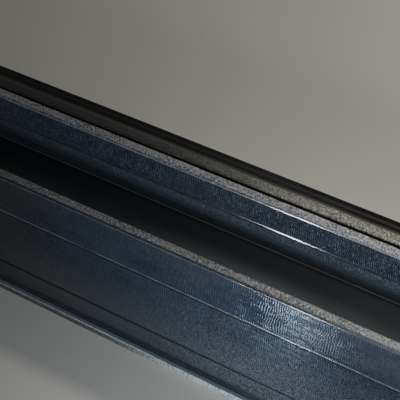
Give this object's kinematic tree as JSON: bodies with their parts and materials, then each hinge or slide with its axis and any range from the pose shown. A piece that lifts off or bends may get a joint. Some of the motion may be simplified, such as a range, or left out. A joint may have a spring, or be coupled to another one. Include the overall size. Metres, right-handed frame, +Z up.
{
  "type": "fiberglass structural profile",
  "caption": "Pultruded fiberglass structural profile: an H-like section with deep flanges, a slotted outer rib with a side ledge, and a foot lip, in dark woven-faced laminate.",
  "frame": {"origin": "middle of the length and of the width, at the level of the leg tips that the profile rests on", "axes": "X along the length, Y across the section with the ledge on the +Y side, Z up out of the shallow bay"},
  "size_m": [2, 0.131, 0.1],
  "materials": {
    "laminate": "dark woven skin with a soft sheen, rough grey fibre on the flange tips"
  },
  "bodies": {
    "root": {"profile": "laminate"}
  },
  "joints": []
}
